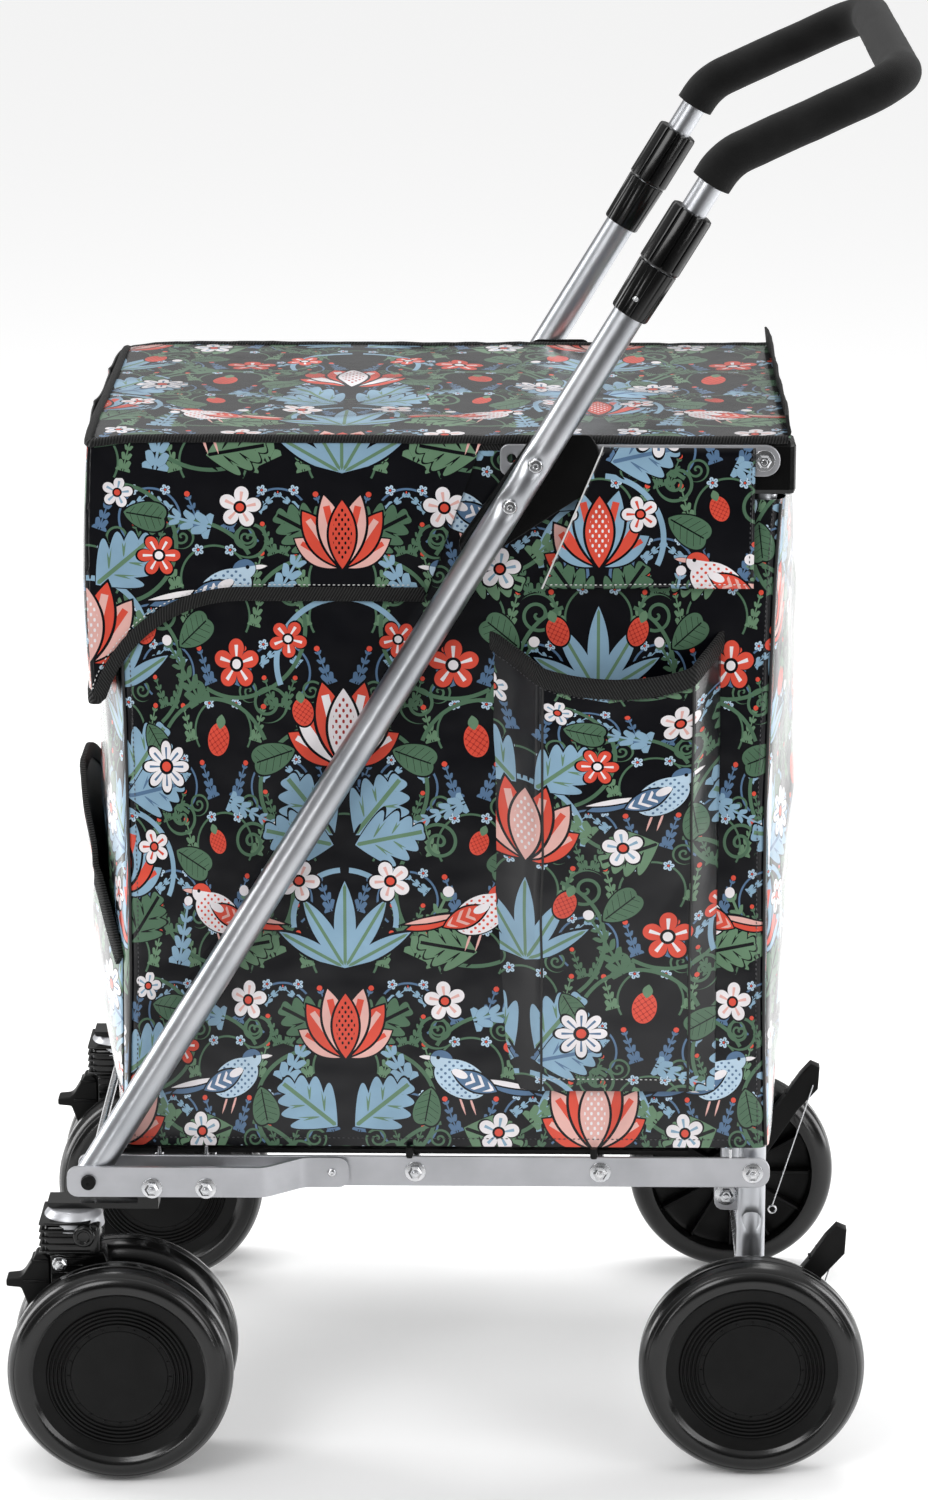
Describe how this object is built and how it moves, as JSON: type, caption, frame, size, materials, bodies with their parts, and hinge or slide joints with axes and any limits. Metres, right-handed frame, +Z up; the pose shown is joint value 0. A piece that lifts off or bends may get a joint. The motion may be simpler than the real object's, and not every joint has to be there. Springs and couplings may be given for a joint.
{
  "type": "folding shopping trolley",
  "caption": "Folding four-wheeled shopping trolley with a covered patterned bag, twin swivel casters in front, braked rear wheels and a telescopic foam-grip handle.",
  "frame": {"origin": "on the ground under the middle of the bounding box", "axes": "+X to the rear, where the handle is; +Y to the trolley's right side; +Z up"},
  "size_m": [0.6309, 0.475, 1.0058],
  "materials": {
    "tube_metal": "bright drawn tube, zinc-like silver",
    "alloy_bar": "satin flat bar",
    "zinc": "zinc-plated steel",
    "black_plastic": "matte moulded plastic",
    "gloss_black": "glossy moulded plastic",
    "wheel_rubber": "moulded wheel with a soft tread, satin black",
    "foam": "closed-cell foam, matte black",
    "coated_fabric": "glossy coated cloth with a printed pattern of leaves, flowers and small birds",
    "board": "stiff bottom board"
  },
  "bodies": {
    "base_frame": {"base_rail_left": "alloy_bar", "base_rail_right": "alloy_bar", "outer_strap_left": "alloy_bar", "outer_strap_right": "alloy_bar", "front_pivot_rod": "zinc", "front_tie_rod_1": "zinc", "front_tie_rod_2": "zinc", "base_tie_rod_1": "zinc", "base_tie_rod_2": "zinc", "rear_pivot_rod": "zinc", "base_platform": "black_plastic", "caster_bracket_left": "zinc", "caster_bracket_right": "zinc", "caster_head_left": "gloss_black", "caster_head_right": "gloss_black", "bag_body": "coated_fabric", "base_board": "board", "side_pocket": "coated_fabric", "front_pocket": "coated_fabric", "strap_flap_left": "coated_fabric", "strap_flap_right": "coated_fabric"},
    "handle_frame": {"handle_tube_left": "tube_metal", "handle_tube_right": "tube_metal", "lower_clamp_left": "gloss_black", "lower_clamp_right": "gloss_black", "strap_guide_left": "black_plastic", "strap_guide_right": "black_plastic", "guide_bolt_left_1": "zinc", "guide_bolt_left_2": "zinc", "guide_bolt_right_1": "zinc", "guide_bolt_right_2": "zinc"},
    "telescopic_handle": {"inner_handle_tube": "tube_metal", "foam_grip": "foam"},
    "rear_frame": {"rear_post_left": "tube_metal", "rear_post_right": "tube_metal", "rear_axle": "zinc", "top_pivot_rod": "zinc", "top_corner_cap_left": "black_plastic", "top_corner_cap_right": "black_plastic"},
    "top_straps": {"top_strap_left": "alloy_bar", "top_strap_right": "alloy_bar"},
    "bag_lid": {"lid": "coated_fabric"},
    "twist_lock_left": {"twist_collar_left": "gloss_black"},
    "caster_left": {"caster_fork_left": "gloss_black", "front_axle_left": "zinc"},
    "front_wheel_left_outer": {"front_wheel_left_outer": "wheel_rubber"},
    "front_wheel_left_inner": {"front_wheel_left_inner": "wheel_rubber"},
    "lock_lever_left": {"swivel_lock_lever_left": "black_plastic"},
    "rear_wheel_left": {"rear_wheel_left": "wheel_rubber"},
    "brake_pedal_left": {"brake_pedal_left": "black_plastic"},
    "twist_lock_right": {"twist_collar_right": "gloss_black"},
    "caster_right": {"caster_fork_right": "gloss_black", "front_axle_right": "zinc"},
    "front_wheel_right_outer": {"front_wheel_right_outer": "wheel_rubber"},
    "front_wheel_right_inner": {"front_wheel_right_inner": "wheel_rubber"},
    "lock_lever_right": {"swivel_lock_lever_right": "black_plastic"},
    "rear_wheel_right": {"rear_wheel_right": "wheel_rubber"},
    "brake_pedal_right": {"brake_pedal_right": "black_plastic"}
  },
  "joints": [
    {"name": "frame_fold", "type": "hinge", "parent": "base_frame", "child": "handle_frame", "pos_m": [-0.2552, 0, 0.215], "axis": [0, 1, 0], "range_deg": [0, 39], "deforming": ["bag_body", "side_pocket", "front_pocket", "strap_flap_left", "strap_flap_right", "lid"]},
    {"name": "rear_legs_fold", "type": "hinge", "parent": "base_frame", "child": "rear_frame", "pos_m": [0.2135, 0, 0.215], "axis": [0, 1, 0], "range_deg": [0, 70.2]},
    {"name": "top_straps_fold", "type": "hinge", "parent": "rear_frame", "child": "top_straps", "pos_m": [0.2135, 0, 0.729], "axis": [0, -1, 0], "range_deg": [0, 85.8]},
    {"name": "handle_height", "type": "slide", "parent": "handle_frame", "child": "telescopic_handle", "axis": [0.5195, 0, 0.8545], "range_m": [-0.02, 0.12]},
    {"name": "lid_open", "type": "hinge", "parent": "base_frame", "child": "bag_lid", "pos_m": [0.2335, 0, 0.744], "axis": [0, 1, 0], "range_deg": [0, 91]},
    {"name": "twist_lock_left", "type": "hinge", "parent": "handle_frame", "child": "twist_lock_left", "pos_m": [0.15002, -0.189, 0.88148], "axis": [0.5195, 0, 0.8545], "range_deg": [0, 90]},
    {"name": "caster_swivel_left", "type": "hinge", "parent": "base_frame", "child": "caster_left", "pos_m": [-0.2665, -0.193, 0.162], "axis": [0, 0, 1], "continuous": true},
    {"name": "front_wheel_spin_left_outer", "type": "hinge", "parent": "caster_left", "child": "front_wheel_left_outer", "pos_m": [-0.2335, -0.193, 0.08], "axis": [0, 1, 0], "continuous": true},
    {"name": "front_wheel_spin_left_inner", "type": "hinge", "parent": "caster_left", "child": "front_wheel_left_inner", "pos_m": [-0.2335, -0.193, 0.08], "axis": [0, 1, 0], "continuous": true},
    {"name": "lock_lever_left", "type": "hinge", "parent": "caster_left", "child": "lock_lever_left", "pos_m": [-0.284, -0.193, 0.158], "axis": [0, 1, 0], "range_deg": [0, 25]},
    {"name": "rear_wheel_spin_left", "type": "hinge", "parent": "rear_frame", "child": "rear_wheel_left", "pos_m": [0.2135, -0.2026, 0.08], "axis": [0, 1, 0], "continuous": true},
    {"name": "brake_pedal_left", "type": "hinge", "parent": "rear_frame", "child": "brake_pedal_left", "pos_m": [0.2135, -0.177, 0.08], "axis": [0, 1, 0], "range_deg": [0, 12]},
    {"name": "twist_lock_right", "type": "hinge", "parent": "handle_frame", "child": "twist_lock_right", "pos_m": [0.15002, 0.189, 0.88148], "axis": [0.5195, 0, 0.8545], "range_deg": [0, 90]},
    {"name": "caster_swivel_right", "type": "hinge", "parent": "base_frame", "child": "caster_right", "pos_m": [-0.2665, 0.193, 0.162], "axis": [0, 0, 1], "continuous": true},
    {"name": "front_wheel_spin_right_outer", "type": "hinge", "parent": "caster_right", "child": "front_wheel_right_outer", "pos_m": [-0.2335, 0.193, 0.08], "axis": [0, 1, 0], "continuous": true},
    {"name": "front_wheel_spin_right_inner", "type": "hinge", "parent": "caster_right", "child": "front_wheel_right_inner", "pos_m": [-0.2335, 0.193, 0.08], "axis": [0, 1, 0], "continuous": true},
    {"name": "lock_lever_right", "type": "hinge", "parent": "caster_right", "child": "lock_lever_right", "pos_m": [-0.284, 0.193, 0.158], "axis": [0, 1, 0], "range_deg": [0, 25]},
    {"name": "rear_wheel_spin_right", "type": "hinge", "parent": "rear_frame", "child": "rear_wheel_right", "pos_m": [0.2135, 0.2026, 0.08], "axis": [0, 1, 0], "continuous": true},
    {"name": "brake_pedal_right", "type": "hinge", "parent": "rear_frame", "child": "brake_pedal_right", "pos_m": [0.2135, 0.177, 0.08], "axis": [0, 1, 0], "range_deg": [0, 12]}
  ],
  "couplings": [
    {"joint": "rear_legs_fold", "follows": "frame_fold", "ratio": 1.8},
    {"joint": "top_straps_fold", "follows": "frame_fold", "ratio": 2.2}
  ]
}
